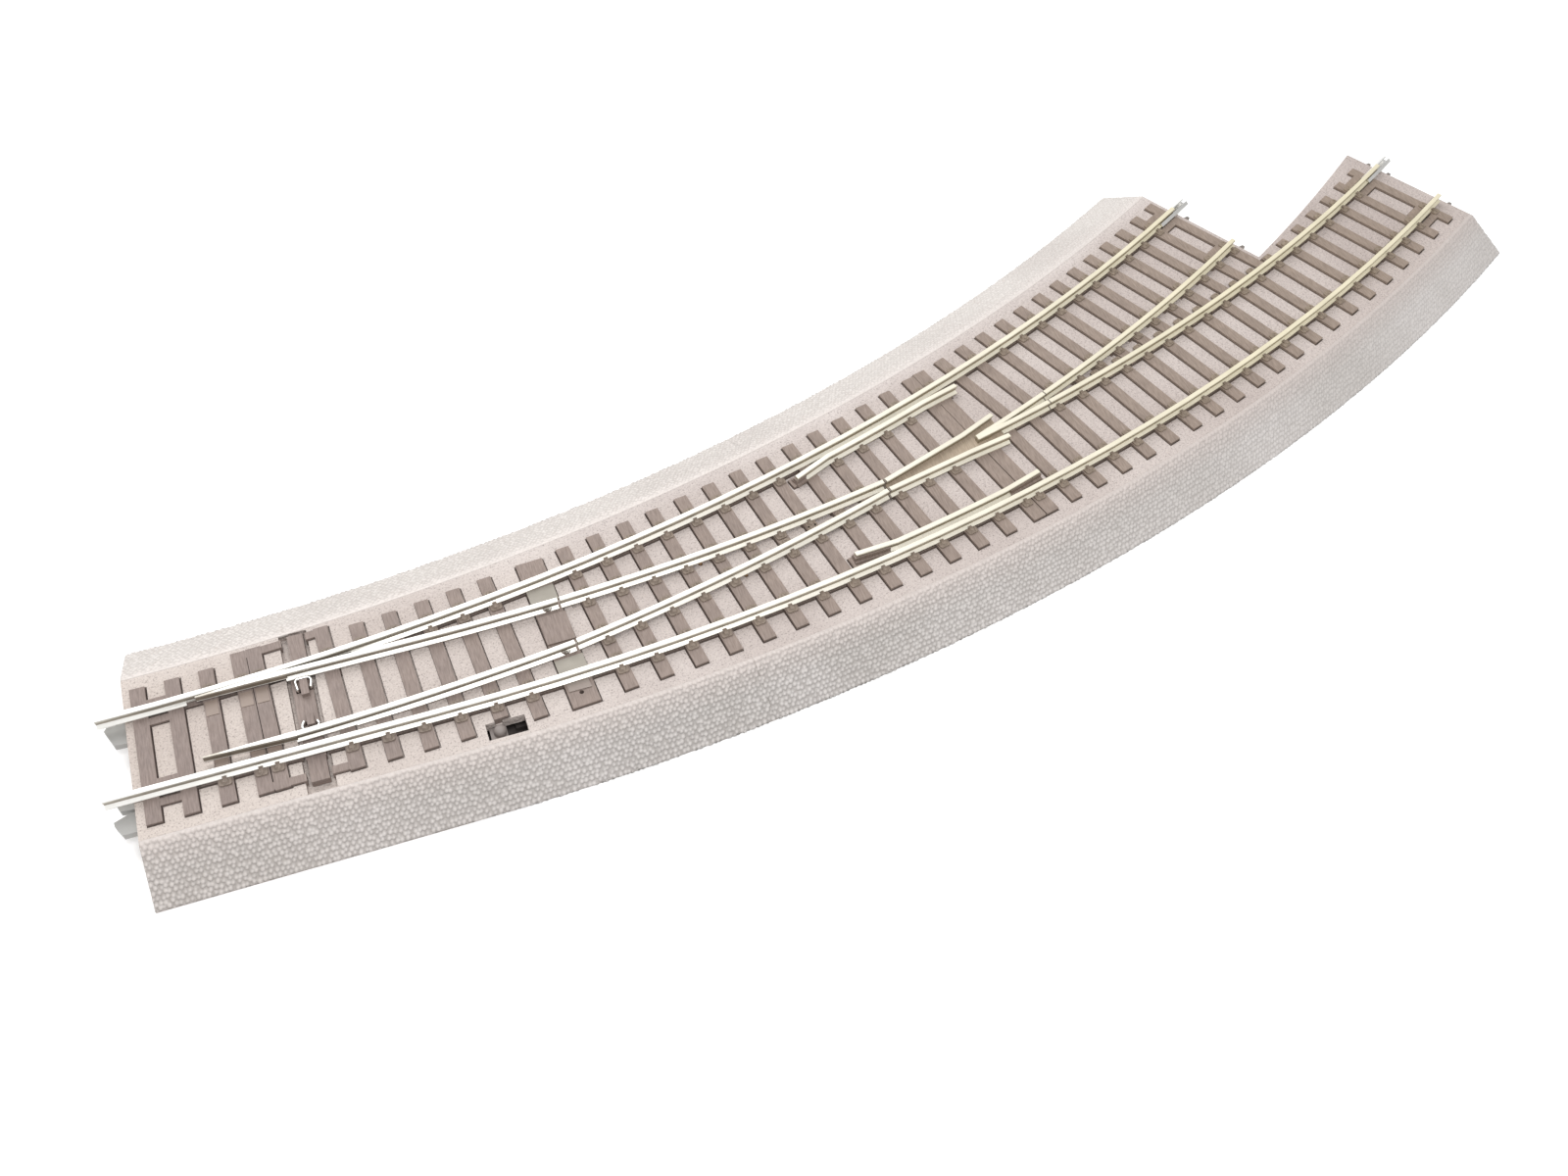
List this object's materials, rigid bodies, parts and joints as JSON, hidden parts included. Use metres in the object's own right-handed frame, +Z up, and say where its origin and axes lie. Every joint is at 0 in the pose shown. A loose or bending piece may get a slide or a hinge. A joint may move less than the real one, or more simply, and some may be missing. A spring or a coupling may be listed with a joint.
{
  "type": "model railway turnout",
  "caption": "Left-hand curved H0 gauge turnout on pebbled ballast bedding, with hinged switch blades, throw bar, frog, check rails and a hidden hand drive.",
  "frame": {"origin": "middle of the two rail ends at the toe, on the plane the bedding rests on", "axes": "+X along the track away from the toe, +Y to the inside of the curve, +Z up"},
  "size_m": [0.3486, 0.1283, 0.009],
  "materials": {
    "ballast": "fine pebbled matte",
    "sleeper_plastic": "fine wood grain",
    "nickel_silver": "drawn, bright head",
    "frog_plastic": "matte",
    "insulator_plastic": "matte",
    "slide_pad": "blackened, worn",
    "heel_plate": "dulled sheet",
    "joiner_sheet": "bright folded sheet",
    "lug_plastic": "satin",
    "steel": "satin",
    "spring_bronze": "rolled strip",
    "drive_plastic": "matte",
    "knob_plastic": "satin",
    "bright_wire": "polished"
  },
  "bodies": {
    "roadbed": {"ballast_bedding": "ballast", "sleeper_grid": "sleeper_plastic", "rail_chairs": "sleeper_plastic", "stock_rail_inner": "nickel_silver", "stock_rail_outer": "nickel_silver", "closure_rail_outer_route": "nickel_silver", "closure_rail_inner_route": "nickel_silver", "frog_nose": "nickel_silver", "frog_floor": "frog_plastic", "wing_rail_inner_side": "nickel_silver", "wing_rail_outer_side": "nickel_silver", "rail_insulators": "insulator_plastic", "branch_rail_inner_route": "nickel_silver", "branch_rail_outer_route": "nickel_silver", "check_rail_inner_route": "nickel_silver", "check_rail_outer_route": "nickel_silver", "slide_pads": "slide_pad", "heel_plates": "heel_plate", "heel_cover": "sleeper_plastic", "rail_joiner_inner_route": "joiner_sheet", "rail_joiner_outer_route": "joiner_sheet", "toe_coupling_lugs": "lug_plastic", "branch_coupling_lugs": "lug_plastic", "crank_pivot": "steel", "detent_spring": "spring_bronze", "drive_tray": "drive_plastic", "tray_screws": "steel", "feeder_inner_side": "spring_bronze", "feeder_outer_side": "spring_bronze"},
    "throw_bar": {"throw_bar": "sleeper_plastic"},
    "blade_outer_route": {"switch_blade_outer_route": "nickel_silver", "blade_loop_outer_route": "bright_wire", "blade_rivet_outer_route": "steel"},
    "blade_inner_route": {"switch_blade_inner_route": "nickel_silver", "blade_loop_inner_route": "bright_wire", "blade_rivet_inner_route": "steel"},
    "bell_crank": {"bell_crank": "drive_plastic", "crank_pins": "steel"},
    "hand_slider": {"manual_slider": "drive_plastic", "slider_knob": "knob_plastic"}
  },
  "joints": [
    {"name": "throw_slide", "type": "slide", "parent": "roadbed", "child": "throw_bar", "axis": [0, -1, 0], "range_m": [0, 0.002]},
    {"name": "outer_blade_hinge", "type": "hinge", "parent": "roadbed", "child": "blade_outer_route", "pos_m": [0.086, 0.00945, 0.007], "axis": [0, 0, 1], "range_deg": [0, 2.34]},
    {"name": "inner_blade_hinge", "type": "hinge", "parent": "roadbed", "child": "blade_inner_route", "pos_m": [0.087, -0.00157, 0.007], "axis": [0, 0, 1], "range_deg": [0, 2.29]},
    {"name": "crank_hinge", "type": "hinge", "parent": "roadbed", "child": "bell_crank", "pos_m": [0.047, 0.001, 0.0033], "axis": [0, 0, 1], "range_deg": [0, 11.48]},
    {"name": "hand_slide", "type": "slide", "parent": "roadbed", "child": "hand_slider", "axis": [1, 0, 0], "range_m": [0, 0.0032]}
  ],
  "couplings": [
    {"joint": "outer_blade_hinge", "follows": "throw_slide", "rad_per_m": 20.408},
    {"joint": "inner_blade_hinge", "follows": "throw_slide", "rad_per_m": 20},
    {"joint": "crank_hinge", "follows": "throw_slide", "rad_per_m": 100.17},
    {"joint": "hand_slide", "follows": "throw_slide", "ratio": 1.6}
  ]
}
